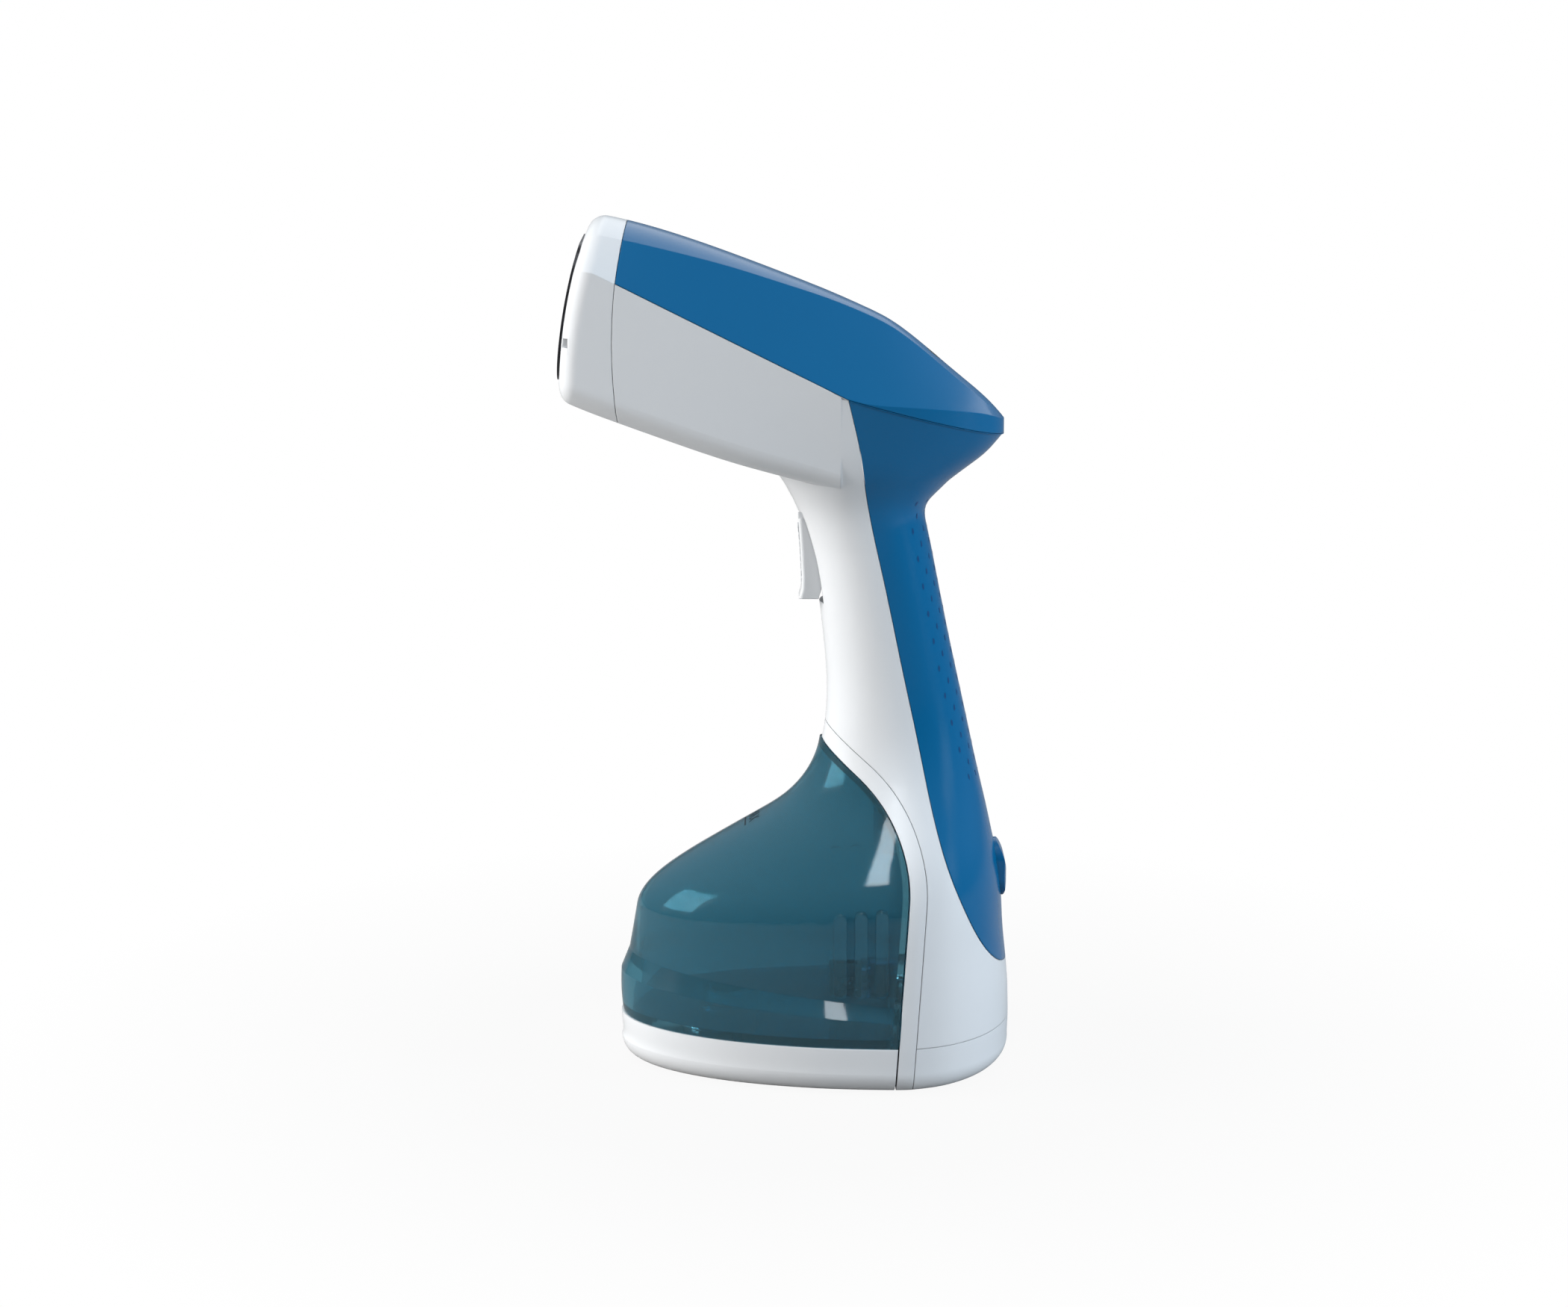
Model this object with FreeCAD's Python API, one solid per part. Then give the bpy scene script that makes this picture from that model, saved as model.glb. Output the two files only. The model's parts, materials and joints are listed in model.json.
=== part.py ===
"""Hand-held garment steamer, built as an assembly of separate pieces.

Frame: millimetres, +Z up, X across the steamer (the pieces mirror about X = 0), -Y towards the nozzle.
The origin is on the standing plane, under the middle of the length of the base.

The outside is cut from two master volumes: the column (base, handle and the flare under the head) and the
head wedge. Curves drawn in the side view (the YZ plane) are the parting lines between the visible pieces.
A third master, the tank, sits in front of the column and pulls off towards -Y.
"""
import FreeCAD, Part
import math
import os

V = FreeCAD.Vector
os.makedirs("parts", exist_ok=True)

# ---------------------------------------------------------------- driving dimensions
WALL = 2.2              # thickness of the plastic shells
TANK_WALL = 2.0         # thickness of the clear tank
SEAM = 0.16             # gap at a parting line between two shells
RUNNING = 0.3           # gap between pieces that move past each other
FOOT_HEIGHT = 0.6       # how far the rubber feet stand proud of the base
SIDE = 90.0             # half-width of the cutting prisms, past every piece

BASE_HALF_WIDTH = 49.0
BASE_WIDEST = 27.0      # where the plan outline of the base is widest
BASE_EDGE_RADIUS = 7.0
BASE_BAND = 16.5        # height of the foot band
GRIP_HALF_WIDTH = 19.4
TRIGGER_HALF_WIDTH = 6.6

# the split between tank and body, in the side view: a line, an arc and a line
SPLIT_FOOT = (26.3, 0.0)
SPLIT_LOWER_WAY = (0.0694, 1.0)
SPLIT_CORNER_HEIGHT = 89.0
SPLIT_UPPER_WAY = (-1.0, 0.78)
SPLIT_RADIUS = 45.0
RIM = 6.0               # width of the white rim that frames the tank
TANK_GAP = 0.5          # gap between tank and rim

# the head, in the side view
CREASE = [(-100.0, 288.75), (10.3, 233.6), (90.0, 210.6)]      # the widest line of the head
BEZEL_SEAM = [(-61.5, 296.0), (-66.9, 262.0), (-63.6, 212.0)]
FACE_TOP = (-75.2, 292.0)
FACE_FOOT = (-85.9, 224.0)
FACE_RADIUS = 176.0
HEAD_HALF_WIDTH = 33.0
HEAD_REAR = 63.2
HEAD_WIDEST = 8.0       # behind here the plan outline of the head rounds off
REAR_SEAM = [(8.6, 243.0), (10.3, 233.6), (14.0, 217.3), (16.4, 200.5), (22.7, 169.9), (29.3, 138.5),
             (34.4, 115.0), (39.6, 91.0), (44.6, 74.5), (49.6, 62.0), (54.6, 51.0), (60.0, 42.0),
             (65.0, 36.5), (72.0, 33.0)]

# column stations: height, front, rear, half-width, place of the widest point, forward rise of the section
COLUMN = [
    (0.0, -67.0, 66.4, BASE_HALF_WIDTH, BASE_WIDEST, 0.0),
    (16.0, -67.0, 66.8, BASE_HALF_WIDTH, BASE_WIDEST, 0.0),
    (32.0, -66.0, 66.2, BASE_HALF_WIDTH - 0.4, BASE_WIDEST + 0.5, 0.0),
    (48.0, -63.0, 64.6, BASE_HALF_WIDTH - 1.2, BASE_WIDEST + 1.5, 0.0),
    (60.0, -58.5, 63.9, BASE_HALF_WIDTH - 2.4, BASE_WIDEST + 2.5, 0.0),
    (70.0, -46.8, 62.7, BASE_HALF_WIDTH - 4.9, BASE_WIDEST + 4.0, 0.0),
    (80.0, -30.5, 60.6, GRIP_HALF_WIDTH + 20.0, 32.0, 0.0),
    (90.0, -13.0, 58.4, GRIP_HALF_WIDTH + 13.1, 31.5, 0.0),
    (100.0, -3.0, 56.0, GRIP_HALF_WIDTH + 7.0, 30.5, 0.0),
    (110.0, 1.4, 53.7, GRIP_HALF_WIDTH + 3.2, 29.0, 0.0),
    (122.0, 3.5, 51.1, GRIP_HALF_WIDTH + 1.1, 27.3, 0.0),
    (140.0, 3.4, 47.1, GRIP_HALF_WIDTH + 0.1, 25.2, 0.0),
    (158.0, 1.5, 43.3, GRIP_HALF_WIDTH - 0.1, 22.4, 0.0),
    (174.0, -0.8, 40.1, GRIP_HALF_WIDTH, 19.6, 0.0),
    (186.0, -4.0, 37.6, GRIP_HALF_WIDTH + 0.4, 16.9, 0.0),
    (194.0, -7.0, 37.4, GRIP_HALF_WIDTH + 1.4, HEAD_WIDEST + 6.5, 0.0),
    (200.0, -10.6, 41.6, GRIP_HALF_WIDTH + 3.6, HEAD_WIDEST + 4.0, 0.8),
    (206.0, -17.0, 45.5, HEAD_HALF_WIDTH - 7.0, HEAD_WIDEST + 2.0, 2.5),
    (213.0, -33.0, 50.2, HEAD_HALF_WIDTH - 4.6, HEAD_WIDEST + 0.6, 6.7),
    (222.0, -44.0, 56.4, HEAD_HALF_WIDTH - 2.7, HEAD_WIDEST, 11.8),
    (234.1, -48.0, 62.9, HEAD_HALF_WIDTH - 0.25, HEAD_WIDEST, 16.16),
]
COLUMN_STEP = 6.0       # spacing of the sections drawn through the stations of the base and handle
FLARE_START = 180.0
FLARE_STEP = 3.0        # spacing of the sections of the flare, whose planes tilt towards the crease

# tank stations: height at the tip, height at the split, tip, half-width
TANK_WALL_HALF = BASE_HALF_WIDTH - 4.4
TANK_SKIRT = [
    (16.5, 16.5, -66.5, BASE_HALF_WIDTH - 0.6),
    (24.0, 21.0, -67.2, BASE_HALF_WIDTH - 0.2),
    (31.5, 25.3, -67.1, BASE_HALF_WIDTH - 0.5),
]
TANK_WALLS = [
    (38.8, 30.0, -64.2, TANK_WALL_HALF + 1.0),
    (46.0, 45.0, -62.9, TANK_WALL_HALF + 0.5),
    (54.3, 59.5, -61.5, TANK_WALL_HALF),
]
TANK_SLOPE = [
    (54.3, 59.5, -61.5, TANK_WALL_HALF),
    (58.2, 64.0, -60.0, TANK_WALL_HALF - 0.7),
    (62.6, 68.5, -56.4, TANK_WALL_HALF - 2.1),
    (68.6, 74.0, -48.8, TANK_WALL_HALF - 4.6),
    (76.2, 80.5, -36.6, GRIP_HALF_WIDTH + 17.2),
    (84.0, 87.0, -23.2, GRIP_HALF_WIDTH + 13.0),
    (91.0, 93.5, -12.2, GRIP_HALF_WIDTH + 8.8),
    (98.0, 99.5, -5.2, GRIP_HALF_WIDTH + 5.6),
    (105.0, 105.5, -1.0, GRIP_HALF_WIDTH + 3.2),
    (112.0, 112.0, 1.2, GRIP_HALF_WIDTH + 1.6),
    (120.0, 120.0, 2.8, GRIP_HALF_WIDTH + 0.8),
]

# head stations: depth, top, top facet (half-width, height), crease half-width, corner (half-width, height)
HEAD = [
    (-96.0, 294.5, 21.0, 289.0, HEAD_HALF_WIDTH - 0.4, 27.5, 236.5),
    (-80.0, 292.4, 20.8, 287.3, HEAD_HALF_WIDTH - 0.3, 27.7, 229.8),
    (-66.0, 290.0, 20.2, 285.3, HEAD_HALF_WIDTH - 0.2, 27.9, 224.4),
    (-48.0, 285.1, 18.4, 281.0, HEAD_HALF_WIDTH - 0.15, 27.9, 217.9),
    (-28.0, 278.2, 15.2, 275.4, HEAD_HALF_WIDTH - 0.15, 27.6, 211.1),
    (-10.0, 271.4, 12.4, 269.4, HEAD_HALF_WIDTH - 0.1, 26.9, 206.0),
    (6.0, 265.0, 9.6, 263.7, HEAD_HALF_WIDTH, 26.0, 201.5),
    (16.0, 260.6, 8.2, 259.4, HEAD_HALF_WIDTH + 0.1, 25.5, 198.5),
    (24.0, 256.6, 7.6, 255.4, HEAD_HALF_WIDTH + 0.3, 25.0, 196.0),
    (34.0, 249.4, 7.4, 248.3, HEAD_HALF_WIDTH + 0.5, 25.0, 193.0),
    (48.0, 237.6, 7.4, 236.6, HEAD_HALF_WIDTH + 0.5, 25.0, 189.0),
    (62.0, 224.6, 7.4, 223.7, HEAD_HALF_WIDTH + 0.5, 25.0, 185.0),
    (72.0, 215.2, 7.4, 214.4, HEAD_HALF_WIDTH + 0.5, 25.0, 182.0),
]
HEAD_CORNER_RADIUS = 9.0
HEAD_NOSE_RADIUS = 6.0  # rounding of the bezel's front edge
HEAD_LAP = 0.25         # how far the upper head reaches down over the flare behind the widest place

# steam plate and heater, in the nozzle's own frame
PLATE_PROUD = 0.9       # how far the plate stands in front of the bezel
PLATE_HALF_WIDTH = 24.0
PLATE_HALF_HEIGHT = 23.0
PLATE_RISE = 2.5        # height of the plate's middle above the middle of the face
PLATE_CORNER = 10.0
PLATE_GAP = 0.3
PLATE_SKIN = 1.6
PLATE_BACK = 2.4        # depth of the plate's flat back
SEAL_THICKNESS = 1.0
HEATER_DEPTH = 20.0
HEATER_HALF_WIDTH = 20.0
HEATER_HALF_HEIGHT = 18.5
LID_THICKNESS = 3.0
BEZEL_FACE = 3.0
STEAM_HOLE = 1.1
STEAM_RINGS = [(0.0, 1), (7.5, 6), (15.0, 12)]

# trigger, in the side view
PIVOT = (3.2, 186.6)
PIN_RADIUS = 1.5
PIN_LENGTH = 23.0
TRIGGER_GAP = 0.35
TRIGGER_TOP = 191.2
TRIGGER_FOOT = 162.2
TRIGGER_FRONT = -12.0   # well in front of the trigger
TRIGGER_OUTLINE = [(-6.0, 189.8), (-5.3, 180.0), (-4.8, 170.0), (-4.9, 165.6), (-5.8, 162.2), (0.9, 162.2),
                   (3.0, 170.0), (5.6, 180.0), (6.9, 186.6), (5.5, 190.0), (1.0, 191.2)]
SPRING_HEIGHT = 179.4
SPRING_REST = 9.2
SWITCH_FRONT = 9.2
SWITCH_FOOT = 163.6
SWITCH_HEIGHT = 12.4
SWITCH_DEPTH = 6.6
SWITCH_PEGS = [166.2, 173.4]
PLUNGER_HEIGHT = 169.8
PLUNGER_RADIUS = 1.2
PLUNGER_TIP = 6.3

# screws
SCREW_BOSS = 3.2
SCREW_CLEAR = 1.4
SCREW_SHANK = 1.35
SCREW_HEAD = 2.6
SCREW_DEPTH = 9.0       # how far the screws reach into the right half
SCREW_SEAT = 7.0        # distance of the head's seat from the middle plane
HOUSING_SCREWS = [(11.0, 148.0), (25.0, 113.0), (-16.0, 213.5), (-44.0, 226.0)]
BASE_SCREW = (27.0, 43.0)

# release button and latch
BUTTON_FOOT = 57.3
BUTTON_TOP = 77.3
BUTTON_HALF_WIDTH = 7.5
BUTTON_GAP = 0.4
BUTTON_FACE = [(64.35, 57.3), (65.75, 65.0), (62.0, 77.3)]
BUTTON_CROWN = 34.0
FLANGE = 1.4            # width of the button's retaining flange
FLANGE_BACK = 55.8
LATCH_PIVOT = (44.0, 74.0)
LATCH_PIN = 1.5
LATCH_HALF_WIDTH = 3.0
LATCH_ARM = 12.0        # from the pivot down to the button's stem
STEM_TIP = 50.3
BRACKET_INNER = 4.0
BRACKET_OUTER = 6.2

# cord inlet, feet and lens
GLAND_HEIGHT = 10.2
GLAND_COLLAR = 5.4
CORD_BORE = 3.6
CLAMP_BORE = 3.35       # the clamp grips the cord, so it is tighter than the gland
FOOT_RADIUS = 6.0
FOOT_RECESS = 1.2
BODY_FEET = [(-24.5, 44.5), (24.5, 44.5)]
TANK_FEET = [(-20.0, -33.0), (20.0, -33.0), (0.0, 0.0)]
LENS_RADIUS = 2.6

# water path
VALVE_HEIGHT = 27.0     # height of the tank's outlet, the nipple and the pump
NIPPLE_RADIUS = 4.6
NIPPLE_TIP = 20.8
NIPPLE_BACK = 35.0
SPRING_SEAT = 49.0      # front of the wall that the button's spring rests on
GRIP_RIBS = (8.0, 7.0)  # place of the first grip rib and their spacing
RIB_PROUD = 1.0
INLET = (11.0, -6.0)    # water inlet of the heater, in the nozzle's frame
SOCKET_RADIUS = 5.2
SEAT_RADIUS = 3.0
SEAT_DEPTH = 19.0
POPPET_RADIUS = 4.4
POPPET_STEM = 1.4
PUMP_RADIUS = 10.0
PUMP_FRONT = 46.0
PUMP_LENGTH = 14.0
HOSE_OUTER = 2.9
HOSE_INNER = 2.0
DOOR_MIDDLE = (0.0, -30.0)
DOOR_HALF = (11.0, 13.0)
DOOR_RELIEF = 1.6       # the door stops this short of its opening, so that its edge clears as it swings
KNUCKLE_HALF = 3.7
NECK_RADIUS = 8.5


# ---------------------------------------------------------------- helpers
def save(name, *solids):
    """Writes one node: every solid of the given shapes, as one compound when there are several."""
    found = [s for shape in solids for s in shape.Solids]
    shape = found[0] if len(found) == 1 else Part.makeCompound(found)
    if not found or not shape.isValid():
        print("PROBLEM", name, "solids", len(found))
    shape.exportStep("parts/%s.step" % name)
    print("%-22s %2d solid(s) %9.1f mm3" % (name, len(found), shape.Volume))


def spline_value(table, column, at):
    """A natural cubic spline through one column of a station table, read at a value of the first column."""
    xs = [row[0] for row in table]
    ys = [row[column] for row in table]
    n = len(xs)
    h = [xs[i + 1] - xs[i] for i in range(n - 1)]
    slope = [(ys[i + 1] - ys[i]) / h[i] for i in range(n - 1)]
    second = [0.0] * n
    diagonal, right = [1.0] * n, [0.0] * n
    for i in range(1, n - 1):
        share = h[i - 1] / diagonal[i - 1] if i > 1 else 0.0
        diagonal[i] = 2 * (h[i - 1] + h[i]) - share * h[i - 1]
        right[i] = 6 * (slope[i] - slope[i - 1]) - share * right[i - 1]
    for i in range(n - 2, 0, -1):
        second[i] = (right[i] - h[i] * second[i + 1]) / diagonal[i]
    k = max(i for i in range(n - 1) if xs[i] <= at or i == 0)
    t = at - xs[k]
    linear = slope[k] - h[k] * (2 * second[k] + second[k + 1]) / 6
    return ys[k] + t * (linear + t * (second[k] / 2 + t * (second[k + 1] - second[k]) / (6 * h[k])))


def plan_wire(front, rear, half_width, widest, z_tip, z_widest, inset=0.0, points=32):
    """A closed plan outline of two half-ellipses that meet at the widest point. Its plane tilts about X."""
    rise = (z_tip - z_widest) / (widest - front)
    found = []
    for i in range(points):
        turn = 2 * math.pi * i / points
        reach = (widest - front) if math.cos(turn) > 0 else (rear - widest)
        y = widest - (reach - inset) * math.cos(turn)
        x = (half_width - inset) * math.sin(turn)
        found.append(V(x, y, z_widest + rise * (widest - y)))
    curve = Part.BSplineCurve()
    curve.interpolate(found, PeriodicFlag=True, Parameters=[i / points for i in range(points + 1)])
    return Part.Wire([curve.toShape()])


def loft(wires):
    return Part.makeLoft(wires, True, False)


def side_wire(points):
    """A closed polygon in the side view, through (y, z) points."""
    return Part.makePolygon([V(0, y, z) for y, z in points + [points[0]]])


def prism(points, half=SIDE, middle=0.0):
    """A side-view polygon of (y, z) points, made solid across X."""
    face = Part.Face(side_wire(points))
    face.translate(V(middle - half, 0, 0))
    return face.extrude(V(2 * half, 0, 0))


def edge_prism(edges, corners, half=SIDE):
    """As prism, with the outline's first stretch given as edges and the rest as (y, z) corners."""
    start, end = edges[0].Vertexes[0].Point, edges[-1].Vertexes[-1].Point
    path = [end] + [V(0, y, z) for y, z in corners] + [start]
    wire = Part.Wire(edges + [Part.makeLine(a, b) for a, b in zip(path, path[1:])])
    face = Part.Face(wire)
    face.translate(V(-half, 0, 0))
    return face.extrude(V(2 * half, 0, 0))


def side_spline(points, offset=0.0):
    """An edge through (y, z) points in the side view, moved sideways by offset (to the left of its way)."""
    curve = Part.BSplineCurve()
    curve.interpolate([V(0, y, z) for y, z in points])
    moved = []
    for y, z in points:
        way = curve.tangent(curve.parameter(V(0, y, z)))[0]
        moved.append(V(0, y - offset * way.z, z + offset * way.y))
    curve.interpolate(moved)
    return curve.toShape()


def box(x0, x1, y0, y1, z0, z1):
    return Part.makeBox(x1 - x0, y1 - y0, z1 - z0, V(x0, y0, z0))


def rod(start, end, radius):
    way = V(*end) - V(*start)
    return Part.makeCylinder(radius, way.Length, V(*start), way)


def tube(start, end, outer, inner):
    return rod(start, end, outer).cut(rod(start, end, inner))


def rounded_block(x_half, z0, z1, y0, y1, radius):
    """A block along Y whose outline in the XZ plane has round corners."""
    block = box(-x_half, x_half, y0, y1, z0, z1)
    along_y = [e for e in block.Edges if abs(e.tangentAt(e.FirstParameter).y) > 0.99]
    return block.makeFillet(radius, along_y)


def coil(start, way, length, mean_radius, wire_radius, turns):
    """A compression spring: a helix of round wire, from start along way."""
    height = length - 2.4 * wire_radius
    helix = Part.makeHelix(height / turns, height, mean_radius)
    ring = Part.Wire([Part.makeCircle(wire_radius, V(mean_radius, 0, 0), V(0, 1, 0))])
    spring = Part.Wire(helix).makePipeShell([ring], True, True)
    first = V(*start) + V(*way) * (1.2 * wire_radius)
    spring.Placement = FreeCAD.Placement(first, FreeCAD.Rotation(V(0, 0, 1), V(*way)))
    return spring


def hose(points, outer, inner, bend):
    """A hose along straight runs with round bends, hollow from end to end."""
    corners = [V(*p) for p in points]
    edges, last = [], corners[0]
    for before, corner, after in zip(corners, corners[1:], corners[2:]):
        into, out = (corner - before).normalize(), (after - corner).normalize()
        turn = into.getAngle(out)
        reach = bend * math.tan(turn / 2)
        start, end = corner - into * reach, corner + out * reach
        middle = corner + (out - into).normalize() * (bend / math.cos(turn / 2) - bend)
        edges += [Part.makeLine(last, start), Part.Arc(start, middle, end).toShape()]
        last = end
    edges.append(Part.makeLine(last, corners[-1]))
    path = Part.Wire(edges)
    way = (corners[1] - corners[0]).normalize()

    def skin(radius):
        return path.makePipeShell([Part.Wire([Part.makeCircle(radius, corners[0], way)])], True, False)

    return skin(outer).cut(skin(inner))


# ---------------------------------------------------------------- side-view parting curves
def split_edges(offset):
    """The line between tank and body, moved into the body by offset: line, arc, line, from the foot up."""
    low, high = V(0, *SPLIT_LOWER_WAY).normalize(), V(0, *SPLIT_UPPER_WAY).normalize()
    aside_low, aside_high = V(0, low.z, -low.y), V(0, high.z, -high.y)
    corner = V(0, SPLIT_FOOT[0] + SPLIT_LOWER_WAY[0] * SPLIT_CORNER_HEIGHT, SPLIT_CORNER_HEIGHT)
    turn = low.getAngle(high)
    corner += (aside_low + aside_high) * (offset / (1 + math.cos(turn)))
    radius = SPLIT_RADIUS + offset
    reach = radius * math.tan(turn / 2)
    start, end = corner - low * reach, corner + high * reach
    inward = (high - low).normalize() * (radius / math.cos(turn / 2) - radius)
    foot = corner - low * ((corner.z + 20) / low.z)
    return [Part.makeLine(foot, start), Part.Arc(start, corner + inward, end).toShape(),
            Part.makeLine(end, end + high * 60)]


def ahead_of_split(offset):
    """Everything in front of the split, moved into the body by offset."""
    return edge_prism(split_edges(offset), [(-120, 150), (-120, -20)])


def crease_height(y):
    """Height of the crease at a depth."""
    low, high = (CREASE[0], CREASE[1]) if y < CREASE[1][0] else (CREASE[1], CREASE[2])
    return low[1] + (y - low[0]) * (high[1] - low[1]) / (high[0] - low[0])


def above_crease(offset):
    points = [(y, z + offset) for y, z in CREASE]
    return prism(points + [(90, 340), (-100, 340)])


def behind_rear_seam(offset):
    return edge_prism([side_spline(REAR_SEAM, offset)], [(95, 33), (95, 243)])


def ahead_of_bezel_seam(offset):
    top, middle, foot = [V(0, y - offset, z) for y, z in BEZEL_SEAM]
    return edge_prism([Part.Arc(foot, middle, top).toShape()], [(-130, 296), (-130, 212)])


def behind_face(offset):
    """Everything behind the nozzle's face, which is part of a cylinder across X, moved back by offset."""
    top, foot = V(0, *FACE_TOP), V(0, *FACE_FOOT)
    chord = foot - top
    outward = V(0, chord.z, -chord.y).normalize()
    depth = math.sqrt(FACE_RADIUS ** 2 - (chord.Length / 2) ** 2)
    centre = (top + foot) * 0.5 - outward * depth
    return Part.makeCylinder(FACE_RADIUS - offset, 2 * SIDE, centre - V(SIDE, 0, 0), V(1, 0, 0))


# ---------------------------------------------------------------- master volumes
def stretch(start, end, step, inset):
    """The column between two heights, lofted through evenly spaced sections."""
    count = round((end - start) / step)
    wires = []
    for i in range(count + 1):
        z = start + (end - start) * i / count
        front, rear, half_width, widest, rise = [spline_value(COLUMN, k, z) for k in range(1, 6)]
        wires.append(plan_wire(front, rear, half_width, widest, z + rise, z, inset))
    return loft(wires)


def column(inset, bottom):
    """Base, handle and flare. A positive inset gives the volume inside a wall of that thickness."""
    radius = BASE_EDGE_RADIUS - inset
    foot = rounded_foot(COLUMN, bottom, radius, inset)
    lower = stretch(bottom + radius, FLARE_START, COLUMN_STEP, inset)
    return foot.fuse([lower, stretch(FLARE_START, COLUMN[-1][0], FLARE_STEP, inset)])


def head_section(row, inset):
    """One upright section of the head: arched top, two upper sides, two lower sides with round corners."""
    y, top, facet, facet_z, crease, corner, corner_z = row
    crease_z = crease_height(y)
    top, facet_z = top - inset, facet_z - inset
    facet, crease, corner = facet - 0.4 * inset, crease - 1.2 * inset, corner - 1.1 * inset
    corner_z += inset
    radius = min(HEAD_CORNER_RADIUS - inset, 0.6 * corner, 0.4 * (crease_z - corner_z))
    side = (V(crease, y, crease_z) - V(corner, y, corner_z)).normalize()
    turn = math.pi - side.getAngle(V(-1, 0, 0))
    reach = radius * math.tan(turn / 2)
    low, up = V(corner - reach, y, corner_z), V(corner, y, corner_z) + side * reach
    bisector = (side + V(-1, 0, 0)).normalize()
    middle = V(corner, y, corner_z) + bisector * (radius / math.sin((math.pi - turn) / 2) - radius)
    flip = lambda p: V(-p.x, p.y, p.z)
    facet_edge, crease_edge = V(facet, y, facet_z), V(crease, y, crease_z)
    return Part.Wire([
        Part.Arc(flip(facet_edge), V(0, y, top), facet_edge).toShape(),
        Part.makeLine(facet_edge, crease_edge),
        Part.makeLine(crease_edge, up),
        Part.Arc(up, middle, low).toShape(),
        Part.makeLine(low, flip(low)),
        Part.Arc(flip(low), flip(middle), flip(up)).toShape(),
        Part.makeLine(flip(up), flip(crease_edge)),
        Part.makeLine(flip(crease_edge), flip(facet_edge)),
    ])


def head(inset):
    """The wedge of the head, cut to its plan outline: straight sides and a half-ellipse for the stern.

    Below the crease it ends at its widest place, where the flare takes over.
    """
    half, rear = HEAD_HALF_WIDTH - inset, HEAD_REAR - inset
    stern = Part.Ellipse(V(0, rear, 0), V(half, HEAD_WIDEST, 0), V(0, HEAD_WIDEST, 0))
    arc = Part.ArcOfEllipse(stern, -math.pi / 2, math.pi / 2).toShape()
    start, end = arc.Vertexes[0].Point, arc.Vertexes[-1].Point
    past = math.copysign(half + 4, end.x)
    corners = [end, V(past, -120, 0), V(-past, -120, 0), start]
    plan = Part.Wire([arc] + [Part.makeLine(a, b) for a, b in zip(corners, corners[1:])])
    plan = Part.Face(plan)
    plan.translate(V(0, 0, 150))
    wedge = loft([head_section(row, inset) for row in HEAD]).common(plan.extrude(V(0, 0, 200)))
    edge = [(y, crease_height(y) - HEAD_LAP) for y in (HEAD_WIDEST, CREASE[1][0], CREASE[2][0])]
    return wedge.cut(prism(edge + [(CREASE[2][0], 150.0), (HEAD_WIDEST, 150.0)]))


def rounded_foot(rows, bottom, radius, inset):
    """The rounded edge under the column or the tank's foot: sections that widen along a quarter circle."""
    wires = []
    for i in range(6):
        turn = math.pi / 2 * i / 5
        z = bottom + radius * (1 - math.cos(turn))
        front, rear, half_width, widest = [spline_value(rows, k, z) for k in range(1, 5)]
        pulled_in = inset + radius * (1 - math.sin(turn))
        wires.append(plan_wire(front, rear, half_width, widest, z, z, pulled_in))
    return loft(wires)


def tank_volume(rows, inset=0.0):
    return loft([plan_wire(tip, 70.0, half_width, BASE_WIDEST, z_tip, z_split, inset)
                 for z_tip, z_split, tip, half_width in rows])


# ---------------------------------------------------------------- the nozzle's own frame
FACE_CENTRE = V(0, (FACE_TOP[0] + FACE_FOOT[0]) / 2, (FACE_TOP[1] + FACE_FOOT[1]) / 2)
FACE_TILT = math.degrees(math.atan2(FACE_TOP[0] - FACE_FOOT[0], FACE_TOP[1] - FACE_FOOT[1]))


def at_face(shape):
    """From the nozzle's frame (X across, Y into the head, Z up the face) to the steamer's."""
    placed = shape.copy()
    placed.rotate(V(0, 0, 0), V(1, 0, 0), -FACE_TILT)
    placed.translate(FACE_CENTRE)
    return placed


def face_point(x, depth, rise):
    point = FreeCAD.Rotation(V(1, 0, 0), -FACE_TILT).multVec(V(x, depth, rise)) + FACE_CENTRE
    return (point.x, point.y, point.z)


def face_block(half_width, half_height, depth0, depth1, radius):
    foot, top = PLATE_RISE - half_height, PLATE_RISE + half_height
    return at_face(rounded_block(half_width, foot, top, depth0, depth1, radius))


def face_rod(x, rise, depth0, depth1, radius):
    return at_face(rod((x, depth0, rise), (x, depth1, rise), radius))


# ---------------------------------------------------------------- what each group is made of
def round_nose(head_solid):
    """Rounds the edge all round the nozzle's face."""
    front = min(head_solid.Faces, key=lambda face: face.CenterOfMass.y)
    return head_solid.makeFillet(HEAD_NOSE_RADIUS, front.Edges)


def masters():
    bottom = FOOT_HEIGHT
    outer = column(0.0, bottom).fuse(round_nose(head(0.0).common(behind_face(PLATE_PROUD))))
    inner = column(WALL, bottom + WALL).fuse(head(WALL).common(behind_face(PLATE_PROUD + BEZEL_FACE)))
    half = WALL / 2
    core = column(half, bottom + half).fuse(head(half).common(behind_face(PLATE_PROUD + half)))
    return outer, inner, core


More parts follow.
